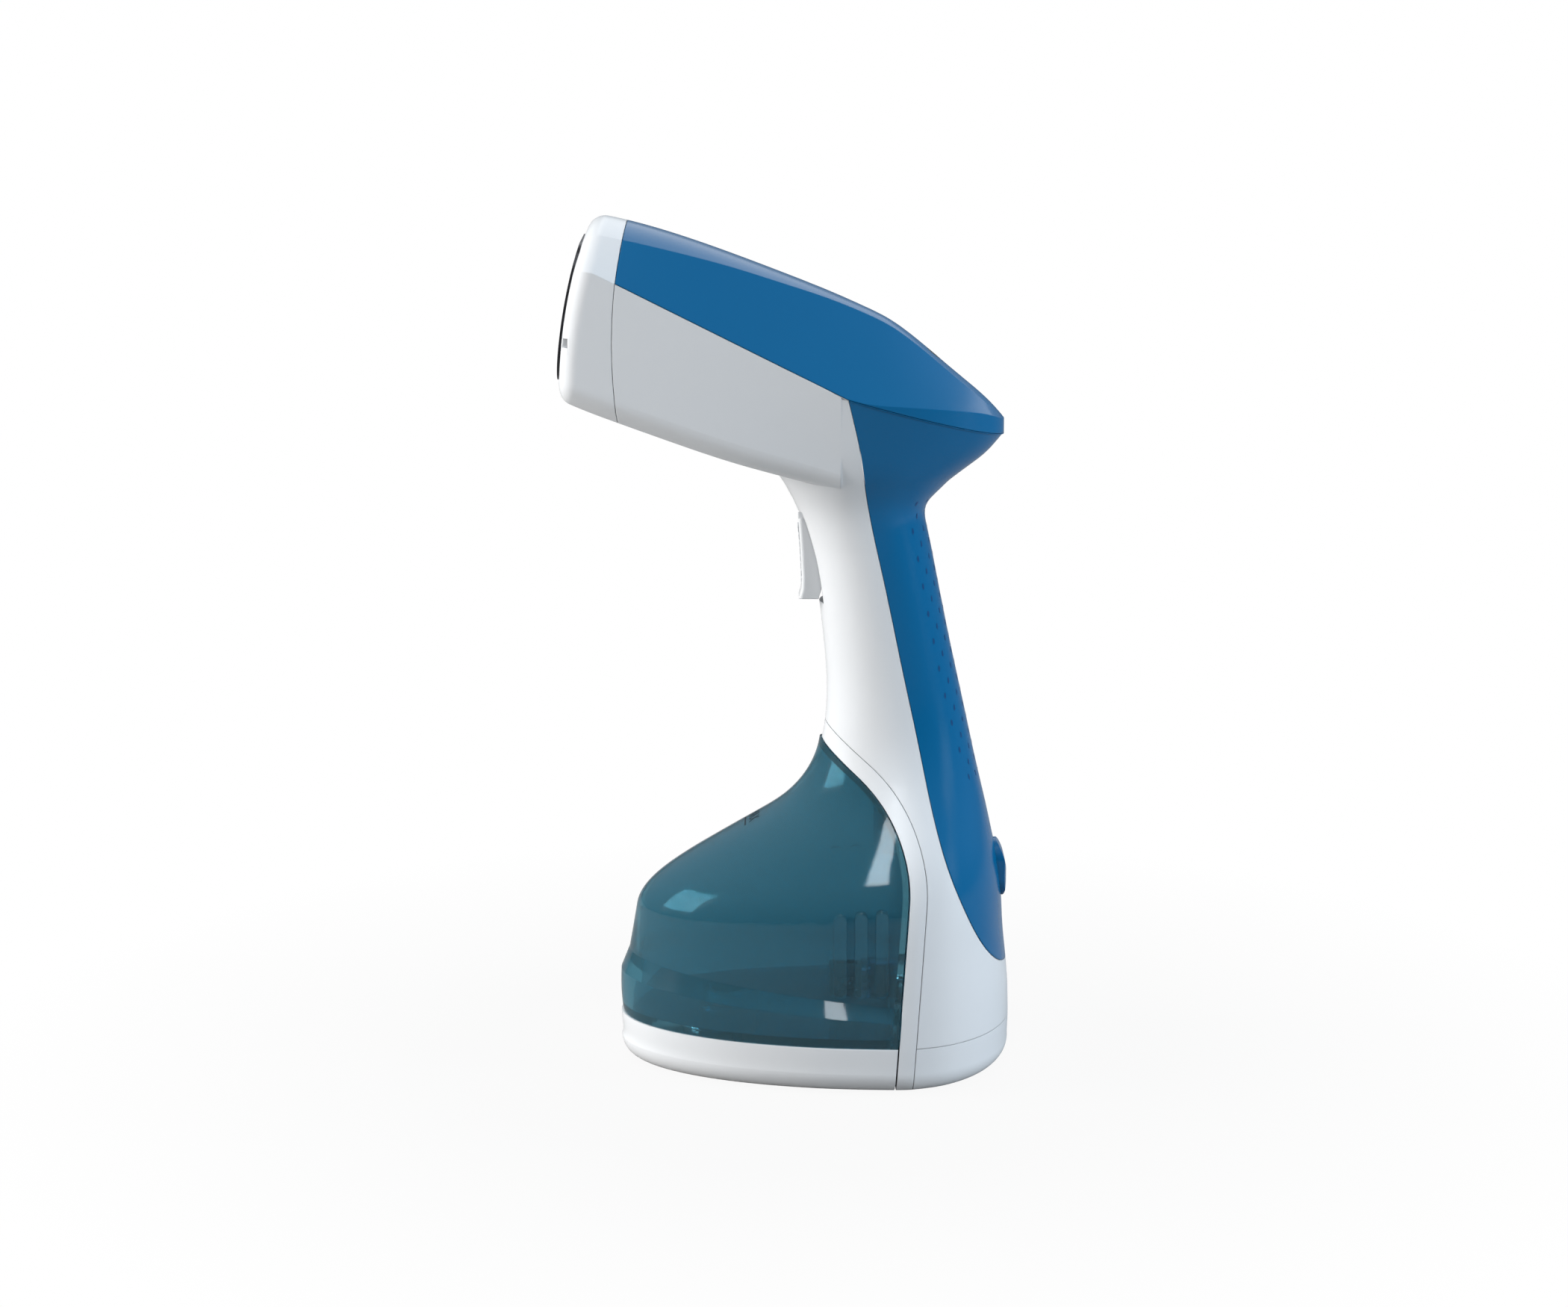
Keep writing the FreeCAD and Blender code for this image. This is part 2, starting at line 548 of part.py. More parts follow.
def body_shell(outer, inner, core):
    """The two white halves, the blue covers, the nozzle bezel and the base cap."""
    shell = outer.cut(inner)
    base_band = box(-SIDE, SIDE, -100, 100, -10, BASE_BAND)
    in_front = ahead_of_split(RIM + SEAM)
    over = above_crease(0.0)
    behind = behind_rear_seam(0.0)
    ahead = ahead_of_bezel_seam(0.0)

    save("top_cover", shell.common(above_crease(SEAM)).cut(ahead_of_bezel_seam(-SEAM)).cut(lens_hole(0.05)))

    rear = shell.common(behind_rear_seam(SEAM)).cut(over)
    rear = rear.cut(button_outline(BUTTON_GAP, 50.0, 75.0))
    save("rear_cover", rear)

    bezel = shell.common(ahead).cut(face_block(PLATE_HALF_WIDTH + PLATE_GAP, PLATE_HALF_HEIGHT + PLATE_GAP,
                                               -20.0, 12.0, PLATE_CORNER + PLATE_GAP))
    for side in (-1, 1):
        slot = box(-1.2, 1.2, -2.0, 4.0, -3.5, 3.5)
        slot = slot.fuse(box(-1.2, 1.2, -5.0, 2.0, -1.5, 1.5))
        slot.translate(V(*face_point(side * (PLATE_HALF_WIDTH + 3.4), 2.0, -6.0)))
        bezel = bezel.cut(slot)
    save("nozzle_bezel", bezel)

    screws = [(side * BASE_SCREW[0], BASE_SCREW[1]) for side in (-1, 1)]
    posts = [rod((x, y, FOOT_HEIGHT + 1), (x, y, BASE_BAND - 1.0), SCREW_BOSS) for x, y in screws]
    holes = [rod((x, y, -1), (x, y, BASE_BAND + 1), SCREW_CLEAR) for x, y in screws]
    holes += [rod((x, y, -1), (x, y, FOOT_HEIGHT + 6.0), SCREW_HEAD + 0.2) for x, y in screws]
    holes += [foot_rod(place, 0.2) for place in BODY_FEET]
    holes.append(gland_rod(GLAND_COLLAR + 0.05))
    save("base_cap", shell.common(base_band).cut(in_front).fuse(posts).cut(holes))

    housing = shell.cut([box(-SIDE, SIDE, -100, 100, -10, BASE_BAND + SEAM), in_front, over, behind,
                         ahead_of_bezel_seam(-SEAM)])
    slot = prism([(TRIGGER_FRONT, TRIGGER_FOOT - 1.4), (9.0, TRIGGER_FOOT - 1.4), (9.0, TRIGGER_TOP + 0.6),
                  (TRIGGER_FRONT, TRIGGER_TOP + 0.6)], TRIGGER_HALF_WIDTH + TRIGGER_GAP)
    pin_hole = rod((-PIN_LENGTH / 2 - 0.1, *PIVOT), (PIN_LENGTH / 2 + 0.1, *PIVOT), PIN_RADIUS + 0.03)
    for name, side in (("housing_right", 1.0), ("housing_left", -1.0)):
        low, high = (SEAM / 2, SIDE) if side > 0 else (-SIDE, -SEAM / 2)
        posts = [rod((side * (TRIGGER_HALF_WIDTH + TRIGGER_GAP), *PIVOT), (side * SIDE, *PIVOT), 3.6)]
        posts += [rod((side * SEAM / 2, y, z), (side * SIDE, y, z), SCREW_BOSS) for y, z in HOUSING_SCREWS]
        x, y = side * BASE_SCREW[0], BASE_SCREW[1]
        posts.append(rod((x, y, BASE_BAND + SEAM), (x, y, BASE_BAND + 14), SCREW_BOSS))
        wall_way = (min(x, side * SIDE), max(x, side * SIDE))
        posts.append(box(*wall_way, y - 4.0, y - 2.0, BASE_BAND + SEAM, BASE_BAND + 12))
        cuts = [pin_hole, rod((x, y, BASE_BAND - 1), (x, y, BASE_BAND + 12), SCREW_CLEAR)]
        if side > 0:
            cuts += [rod((-1, y, z), (SCREW_DEPTH, y, z), SCREW_CLEAR) for y, z in HOUSING_SCREWS]
            posts.append(box(-4.0, SIDE, SPRING_REST, SPRING_REST + 2.6,
                             SPRING_HEIGHT - 3.4, SPRING_HEIGHT + 3.4))
            peg_y = SWITCH_FRONT + 4.1
            posts += [rod((-2.8, peg_y, z), (SIDE, peg_y, z), 0.9) for z in SWITCH_PEGS]
        else:
            cuts += [rod((-SIDE, y, z), (1, y, z), SCREW_CLEAR) for y, z in HOUSING_SCREWS]
            cuts += [rod((-SIDE, y, z), (-SCREW_SEAT, y, z), SCREW_HEAD + 0.2) for y, z in HOUSING_SCREWS]
        posts = Part.makeCompound(posts).common(core).cut([behind_rear_seam(-0.6), over])
        half = housing.common(box(low, high, -120, 120, 0, 300)).cut(slot)
        save(name, half.fuse(posts).cut(cuts))


def foot_rod(place, gap=0.0):
    """One rubber foot, or with a gap the recess that it sits in."""
    x, y = place
    return rod((x, y, -gap), (x, y, FOOT_HEIGHT + FOOT_RECESS), FOOT_RADIUS + gap)


def gland_rod(radius, y0=54.0, y1=80.0):
    return rod((0, y0, GLAND_HEIGHT), (0, y1, GLAND_HEIGHT), radius)


def lens_hole(gap):
    foot, way = V(0, 33.0, 238.0), V(0, 0.66, 0.75)
    return Part.makeCylinder(LENS_RADIUS + gap, 30, foot, way)


def button_outline(gap, y0, y1):
    middle = (BUTTON_FOOT + BUTTON_TOP) / 2
    half = (BUTTON_TOP - BUTTON_FOOT) / 2
    block = rounded_block(BUTTON_HALF_WIDTH + gap, -half - gap, half + gap, y0, y1,
                          BUTTON_HALF_WIDTH - 0.4 + gap)
    block.translate(V(0, 0, middle))
    return block


def bulkhead(outer, inner):
    """The wall between body and tank. Its rim is the strip round the tank, and it carries the latch."""
    plate = outer.common(ahead_of_split(RIM)).cut(ahead_of_split(TANK_GAP))
    hollow = inner.common(ahead_of_split(RIM + 5)).cut(ahead_of_split(TANK_GAP + WALL))
    plate = plate.cut(hollow)
    cheeks = box(-BRACKET_OUTER, BRACKET_OUTER, 30.0, SPRING_SEAT + 2.0, 68.0, 80.0)
    cheeks = cheeks.cut(box(-BRACKET_INNER, BRACKET_INNER, 20.0, SPRING_SEAT, 60.0, 90.0))
    cheeks = cheeks.cut([box(-9, 9, SPRING_SEAT - 4, SPRING_SEAT + 9, 76.2, 90.0),
                         box(-9, 9, SPRING_SEAT - 0.1, SPRING_SEAT + 9, 60.0, 70.3),
                         ahead_of_split(TANK_GAP + 1)])
    plate = plate.fuse(cheeks)
    plate = plate.cut(rod((-9, *LATCH_PIVOT), (9, *LATCH_PIVOT), LATCH_PIN + 0.03))
    plate = plate.cut(box(-LATCH_HALF_WIDTH - 0.6, LATCH_HALF_WIDTH + 0.6, 20, 40, 76.2, 86.0))
    plate = plate.cut(rod((0, 10, VALVE_HEIGHT), (0, 60, VALVE_HEIGHT), NIPPLE_RADIUS + 0.1))
    save("tank_bulkhead", plate)

    nipple = rod((0, NIPPLE_TIP, VALVE_HEIGHT), (0, NIPPLE_BACK, VALVE_HEIGHT), NIPPLE_RADIUS)
    nipple = nipple.fuse(rod((0, NIPPLE_BACK - 2.0, VALVE_HEIGHT), (0, NIPPLE_BACK, VALVE_HEIGHT), 7.5))
    nipple = nipple.fuse(rod((0, NIPPLE_BACK, VALVE_HEIGHT), (0, NIPPLE_BACK + 6.0, VALVE_HEIGHT), 3.0))
    nipple = nipple.cut(rod((0, NIPPLE_TIP + 2, VALVE_HEIGHT), (0, 60, VALVE_HEIGHT), 1.8))
    for i in range(4):
        turn = math.pi * (i + 0.5) / 2
        x, z = 2.4 * math.cos(turn), VALVE_HEIGHT + 2.4 * math.sin(turn)
        nipple = nipple.cut(rod((x, NIPPLE_TIP - 1, z), (x, NIPPLE_TIP + 2.6, z), 0.9))
    ring_at = V(0, NIPPLE_TIP + 3.6, VALVE_HEIGHT)
    groove = Part.makeTorus(NIPPLE_RADIUS - 0.25, 0.8, ring_at, V(0, 1, 0))
    save("inlet_nipple", nipple.cut(groove))
    save("nipple_seal", Part.makeTorus(NIPPLE_RADIUS - 0.25, 0.75, ring_at, V(0, 1, 0)))


def latch():
    """Button, lever and springs that let the tank go."""
    face = [V(0, y, z) for y, z in BUTTON_FACE]
    bump = edge_prism([Part.Arc(*face).toShape()], [(50.0, BUTTON_FACE[2][1]), (50.0, BUTTON_FACE[0][1])])
    crown = Part.makeCylinder(BUTTON_CROWN, 60, V(0, BUTTON_FACE[1][0] - BUTTON_CROWN, 40))
    cap = button_outline(0.0, FLANGE_BACK, 75.0).common(bump).common(crown)
    flange = button_outline(FLANGE, FLANGE_BACK, FLANGE_BACK + 1.6)
    button = cap.fuse(flange)
    button = button.cut(box(-5.2, 5.2, FLANGE_BACK - 1, FLANGE_BACK + 4.4,
                            BUTTON_FOOT + 2, BUTTON_TOP - 1.6))
    stem_z = LATCH_PIVOT[1] - LATCH_ARM
    button = button.fuse(rod((0, STEM_TIP, stem_z), (0, FLANGE_BACK + 5.0, stem_z), 1.8))
    save("release_button", button)

    y, z = LATCH_PIVOT
    arm = prism([(y - 20.2, z + 3.0), (y - 18.4, z + 3.0), (y - 17.4, z + 5.0), (y - 4.0, z + 3.6),
                 (y + 2.0, z + 2.6), (y + 0.5, z + 4.4), (y - 5.0, z + 7.2), (y - 20.2, z + 7.6)],
                LATCH_HALF_WIDTH)
    low = prism([(y + 3.6, z - 1.0), (STEM_TIP - 0.4, stem_z + 2.6), (STEM_TIP - 0.4, stem_z - 2.6),
                 (STEM_TIP - 3.2, stem_z - 2.6), (y - 2.6, z - 3.0)], LATCH_HALF_WIDTH)
    hub = rod((-LATCH_HALF_WIDTH, y, z), (LATCH_HALF_WIDTH, y, z), 4.2)
    lever = hub.fuse(arm).fuse(low).cut(rod((-9, y, z), (9, y, z), LATCH_PIN + 0.05))
    save("latch_lever", lever.removeSplitter())
    save("latch_pin", rod((-BRACKET_OUTER - 0.4, y, z), (BRACKET_OUTER + 0.4, y, z), LATCH_PIN))
    length = FLANGE_BACK + 4.3 - (SPRING_SEAT + 2.1)
    save("button_spring", coil((0, SPRING_SEAT + 2.1, 72.9), (0, 1, 0), length, 2.2, 0.35, 5))


def tank():
    """The clear tank with its outlet, its white foot, the filler door under it and the valve."""
    skirt = tank_volume(TANK_SKIRT)
    ledge = tank_volume([TANK_SKIRT[-1], TANK_WALLS[0]])
    body = skirt.fuse(ledge).fuse(tank_volume(TANK_WALLS)).fuse(tank_volume(TANK_SLOPE)).removeSplitter()
    ahead = ahead_of_split(0.0)
    body = body.common(ahead)

    floor = BASE_BAND + SEAM + 2.2
    first = TANK_WALLS[0]
    rows = [(floor, floor, first[2] - 0.4, first[3] + 0.2), (floor + 9.0, floor + 9.0, first[2], first[3])]
    rows += TANK_WALLS[1:]
    cavity = tank_volume(rows, inset=TANK_WALL).fuse(tank_volume(TANK_SLOPE, inset=TANK_WALL))
    cavity = cavity.common(ahead_of_split(-TANK_WALL))
    pocket = box(-6.6, 6.6, 20.0, 40.0, 72.8, 88.0)
    socket = rod((0, SEAT_DEPTH - 3.0, VALVE_HEIGHT), (0, 40, VALVE_HEIGHT), SOCKET_RADIUS + 2.0)
    body = body.cut(cavity.cut(pocket).cut(socket))
    body = body.cut(box(-4.8, 4.8, 21.8, 25.4, 74.6, 86.2)).cut(box(-4.8, 4.8, 25.0, 40, 76.6, 86.2))
    body = body.cut(rod((0, SEAT_DEPTH, VALVE_HEIGHT), (0, 40, VALVE_HEIGHT), SOCKET_RADIUS))
    body = body.cut(rod((0, 0, VALVE_HEIGHT), (0, 40, VALVE_HEIGHT), SEAT_RADIUS))
    reach = TANK_WALL_HALF + RIB_PROUD
    for i in range(3):
        y0 = GRIP_RIBS[0] + i * GRIP_RIBS[1]
        rib = rounded_block(2.1, 33.0, 62.0 + i * 0.6, -reach, reach, 2.0)
        rib.rotate(V(0, 0, 0), V(0, 0, 1), 90)
        rib.translate(V(0, y0, 0))
        body = body.fuse(rib.cut(box(-TANK_WALL_HALF + 3.2, TANK_WALL_HALF - 3.2, -100, 100, 0, 120)))
    x, y = DOOR_MIDDLE
    body = body.cut(rod((x, y, 0), (x, y, floor + 2), NECK_RADIUS + 1.63))
    neck = tube((x, y, 6.0), (x, y, floor), NECK_RADIUS + 1.6, NECK_RADIUS)
    save("tank_shell", body)
    save("fill_neck", neck)

    outer = column(0.0, FOOT_HEIGHT).common(box(-SIDE, SIDE, -100, 100, 0, BASE_BAND))
    inner = column(WALL, FOOT_HEIGHT + WALL).common(box(-SIDE, SIDE, -100, 100, 0, BASE_BAND + 1))
    base = outer.common(ahead).cut(inner.common(ahead_of_split(-WALL)))
    hx, hy = DOOR_HALF
    base = base.cut([box(x - hx - RUNNING, x + hx + RUNNING, y - hy - RUNNING, y + hy + RUNNING, -1, 6),
                     box(x - KNUCKLE_HALF - RUNNING, x + KNUCKLE_HALF + RUNNING, y, y + hy + 6.2, -1, 6)])
    hinge_z = FOOT_HEIGHT + 3.0
    for side in (-1, 1):
        middle = x + side * 6.0
        base = base.fuse(box(middle - 2.0, middle + 2.0, y + hy + 0.3, y + hy + 6.2,
                             FOOT_HEIGHT + 0.6, hinge_z + 2.4))
    base = base.cut(rod((x - 9, y + hy + 2.6, hinge_z), (x + 9, y + hy + 2.6, hinge_z), 1.03))
    save("tank_base", base.cut([foot_rod(place, 0.2) for place in TANK_FEET]))
    save("tank_feet", *[foot_rod(place) for place in TANK_FEET])

    door = box(x - hx, x + hx, y - hy, y + hy - DOOR_RELIEF, FOOT_HEIGHT, FOOT_HEIGHT + 2.0)
    knuckle = rod((x - KNUCKLE_HALF, y + hy + 2.6, hinge_z), (x + KNUCKLE_HALF, y + hy + 2.6, hinge_z), 2.0)
    arm = box(x - KNUCKLE_HALF, x + KNUCKLE_HALF, y + hy - 2.6, y + hy + 2.6, hinge_z - 2.0, hinge_z)
    plug = rod((x, y, FOOT_HEIGHT + 1), (x, y, FOOT_HEIGHT + 4.6), NECK_RADIUS - 2.4)
    door = door.fuse(plug).fuse(arm).fuse(knuckle)
    door = door.cut(rod((x - 9, y + hy + 2.6, hinge_z), (x + 9, y + hy + 2.6, hinge_z), 1.06))
    save("fill_door", door)
    save("fill_seal", tube((x, y, FOOT_HEIGHT + 2.05), (x, y, 5.9), NECK_RADIUS + 1.2, NECK_RADIUS - 2.3))
    save("fill_pin", rod((x - 8.0, y + hy + 2.6, hinge_z), (x + 8.0, y + hy + 2.6, hinge_z), 1.0))

    seat = SEAT_DEPTH - 3.0
    poppet = rod((0, seat - 2.6, VALVE_HEIGHT), (0, seat - 0.3, VALVE_HEIGHT), POPPET_RADIUS)
    poppet = poppet.fuse(rod((0, seat - 1, VALVE_HEIGHT), (0, NIPPLE_TIP - 0.3, VALVE_HEIGHT), POPPET_STEM))
    save("valve_poppet", poppet.fuse(rod((0, seat - 6.0, VALVE_HEIGHT), (0, seat - 2, VALVE_HEIGHT), 1.2)))
    cage_end = (0, seat - 11.0, VALVE_HEIGHT)
    cage = tube(cage_end, (0, seat, VALVE_HEIGHT), SOCKET_RADIUS + 1.2, SOCKET_RADIUS + 0.2)
    cage = cage.fuse(tube(cage_end, (0, seat - 9.6, VALVE_HEIGHT), SOCKET_RADIUS + 1.2, 1.5))
    for turn in (0, 90):
        window = box(-9, 9, seat - 8.4, seat - 1.5, -2.2, 2.2)
        window.rotate(V(0, 0, 0), V(0, 1, 0), turn)
        window.translate(V(0, 0, VALVE_HEIGHT))
        cage = cage.cut(window)
    save("valve_cage", cage)
    save("valve_spring", coil((0, seat - 9.5, VALVE_HEIGHT), (0, 1, 0), 6.8, 2.6, 0.3, 5))


def nozzle():
    """Steam plate, heater and what is screwed to it, all in the nozzle's frame."""
    plate = face_block(PLATE_HALF_WIDTH, PLATE_HALF_HEIGHT, -8.0, PLATE_BACK, PLATE_CORNER)
    plate = plate.common(behind_face(0.0))
    recess = face_block(PLATE_HALF_WIDTH - 3, PLATE_HALF_HEIGHT - 3, -8.0, PLATE_BACK + 1, PLATE_CORNER - 3)
    plate = plate.cut(recess.common(behind_face(PLATE_SKIN)))
    for radius, count in STEAM_RINGS:
        for i in range(count):
            turn = 2 * math.pi * (i + 0.5) / count
            x, rise = radius * math.sin(turn), PLATE_RISE + radius * math.cos(turn)
            plate = plate.cut(face_rod(x, rise, -9.0, PLATE_BACK, STEAM_HOLE))
    save("steam_plate", plate)

    back = PLATE_BACK + 0.05
    seal = face_block(PLATE_HALF_WIDTH - 0.4, PLATE_HALF_HEIGHT - 0.4,
                      back, back + SEAL_THICKNESS, PLATE_CORNER - 0.4)
    opening = face_block(PLATE_HALF_WIDTH - 2.8, PLATE_HALF_HEIGHT - 2.8, -1, 9, PLATE_CORNER - 2.8)
    save("plate_seal", seal.cut(opening))

    front = back + SEAL_THICKNESS + 0.05
    rear = front + HEATER_DEPTH
    wide = PLATE_HALF_WIDTH - 0.4
    block = face_block(wide, PLATE_HALF_HEIGHT - 0.4, front, front + 3.0, PLATE_CORNER - 0.4)
    block = block.fuse(face_block(HEATER_HALF_WIDTH, HEATER_HALF_HEIGHT, front, rear, 5.0))
    block = block.cut(face_block(HEATER_HALF_WIDTH - 3, HEATER_HALF_HEIGHT - 3, front + 5.0, rear + 1, 3.0))
    for i in range(3):
        rib = box(-HEATER_HALF_WIDTH + 2, HEATER_HALF_WIDTH - 8, front + 4, rear - 2.0, -1.0, 1.0)
        rib.translate(V(6.0 * (i % 2), 0, PLATE_RISE + 7.0 * (i - 1)))
        block = block.fuse(at_face(rib))
    ports = [(x, rise) for x in (-12.0, 0.0, 12.0) for rise in (PLATE_RISE - 11.0, PLATE_RISE + 11.0)]
    for x, rise in ports:
        block = block.cut(face_rod(x, rise, front - 1, front + 6, 1.8))
    corners = [(sx * (HEATER_HALF_WIDTH - 2.6), PLATE_RISE + sz * (HEATER_HALF_HEIGHT - 2.6))
               for sx in (-1, 1) for sz in (-1, 1)]
    lid = face_block(HEATER_HALF_WIDTH, HEATER_HALF_HEIGHT, rear + 0.05, rear + LID_THICKNESS, 5.0)
    screws = []
    for x, rise in corners:
        post = at_face(rod((x, front + 4, rise), (x, rear, rise), 2.6)).common(
            face_block(HEATER_HALF_WIDTH, HEATER_HALF_HEIGHT, front, rear, 5.0))
        block = block.fuse(post).cut(face_rod(x, rise, rear - 12.0, rear + 1, 1.3))
        lid = lid.cut(face_rod(x, rise, rear - 1, rear + 9, 1.3))
        screws.append(face_rod(x, rise, rear - 10.0, rear + LID_THICKNESS + 0.5, 1.25).fuse(
            face_rod(x, rise, rear + LID_THICKNESS + 0.05, rear + LID_THICKNESS + 1.8, 2.2)))
    lid = lid.fuse(face_rod(INLET[0], INLET[1], rear + 1, rear + LID_THICKNESS + 6.0, 1.95))
    lid = lid.cut(face_rod(INLET[0], INLET[1], rear - 1, rear + LID_THICKNESS + 9.0, 1.0))
    save("heater_block", block.removeSplitter())
    save("heater_lid", lid)
    save("heater_screws", *screws)
    stat = face_rod(-6.0, PLATE_RISE + 3, rear + LID_THICKNESS + 0.05, rear + LID_THICKNESS + 5.0, 7.0)
    stat = stat.fuse(at_face(box(-16.0, 4.0, rear + LID_THICKNESS + 0.05, rear + LID_THICKNESS + 0.9,
                                 PLATE_RISE + 1.0, PLATE_RISE + 5.0)))
    for x in (-9.0, -3.0):
        tab = box(x - 1.5, x + 1.5, rear + LID_THICKNESS + 4.5, rear + LID_THICKNESS + 11.0,
                  PLATE_RISE + 2.6, PLATE_RISE + 3.4)
        stat = stat.fuse(at_face(tab))
    save("thermostat", stat)
    fuse_depth, fuse_rise = rear + LID_THICKNESS + 2.2, PLATE_RISE - 9
    fuse = rod((-13.0, fuse_depth, fuse_rise), (1.0, fuse_depth, fuse_rise), 2.0)
    save("thermal_fuse", at_face(fuse))
    return face_point(INLET[0], rear + LID_THICKNESS + 0.3, INLET[1])


def handle():
    """Trigger, its pad, pin and spring, and the switch behind it."""
    y, z = PIVOT
    trigger = prism(TRIGGER_OUTLINE, TRIGGER_HALF_WIDTH)
    front = [e for e in trigger.Edges if abs(e.tangentAt(e.FirstParameter).x) < 0.01
             and abs(abs(e.BoundBox.XMin) - TRIGGER_HALF_WIDTH) < 0.01 and e.BoundBox.YMax < -4.5
             and e.BoundBox.ZLength > 3.0]
    trigger = trigger.makeFillet(1.2, front)
    trigger = trigger.cut(box(-4.6, 4.6, -2.2, 20, 164.4, 182.8))
    rib = box(-1.6, 1.6, -3.0, PLUNGER_TIP - 0.3, PLUNGER_HEIGHT - 1.6, PLUNGER_HEIGHT + 1.6)
    trigger = trigger.fuse(rib).cut(rod((-9, y, z), (9, y, z), PIN_RADIUS + 0.06))
    pad = [(-4.3, 186.6), (-6.2, 186.6), (-5.55, 180.0), (-5.05, 170.0), (-5.05, 167.6), (-3.4, 167.6),
           (-3.4, 170.0), (-3.8, 180.0)]
    room = [(-4.3 + 0.1, 186.7), (-9, 186.7), (-9, 167.5), (-3.3, 167.5), (-3.3, 170.0), (-3.7, 180.0)]
    trigger = trigger.cut(prism(room, 4.7))
    save("trigger", trigger)
    pad = prism(pad, 4.6)
    for i in range(7):
        groove_z = 169.4 + 2.5 * i
        front_y = -5.0 - 1.15 * max(0.0, (groove_z - 170.0) / 16.6)
        pad = pad.cut(rod((-9, front_y - 0.25, groove_z), (9, front_y - 0.25, groove_z), 0.55))
    save("trigger_pad", pad)
    save("trigger_pin", rod((-PIN_LENGTH / 2, y, z), (PIN_LENGTH / 2, y, z), PIN_RADIUS))
    save("trigger_spring", coil((0, -2.1, SPRING_HEIGHT), (0, 1, 0), SPRING_REST + 2.0, 2.0, 0.35, 6))

    switch_back = SWITCH_FRONT + SWITCH_DEPTH
    switch = box(-2.9, 2.9, SWITCH_FRONT, switch_back, SWITCH_FOOT, SWITCH_FOOT + SWITCH_HEIGHT)
    for peg in SWITCH_PEGS:
        switch = switch.cut(rod((-9, SWITCH_FRONT + 4.1, peg), (9, SWITCH_FRONT + 4.1, peg), 1.0))
        switch = switch.fuse(box(-1.2, 1.2, switch_back - 0.2, switch_back + 3.0, peg - 0.4, peg + 0.4))
    switch = switch.cut(rod((0, SWITCH_FRONT - 1, PLUNGER_HEIGHT), (0, SWITCH_FRONT + 5.6, PLUNGER_HEIGHT),
                            PLUNGER_RADIUS + 0.06))
    save("micro_switch", switch)
    plunger = rod((0, PLUNGER_TIP, PLUNGER_HEIGHT), (0, SWITCH_FRONT + 3.3, PLUNGER_HEIGHT), PLUNGER_RADIUS)
    save("switch_plunger", plunger)


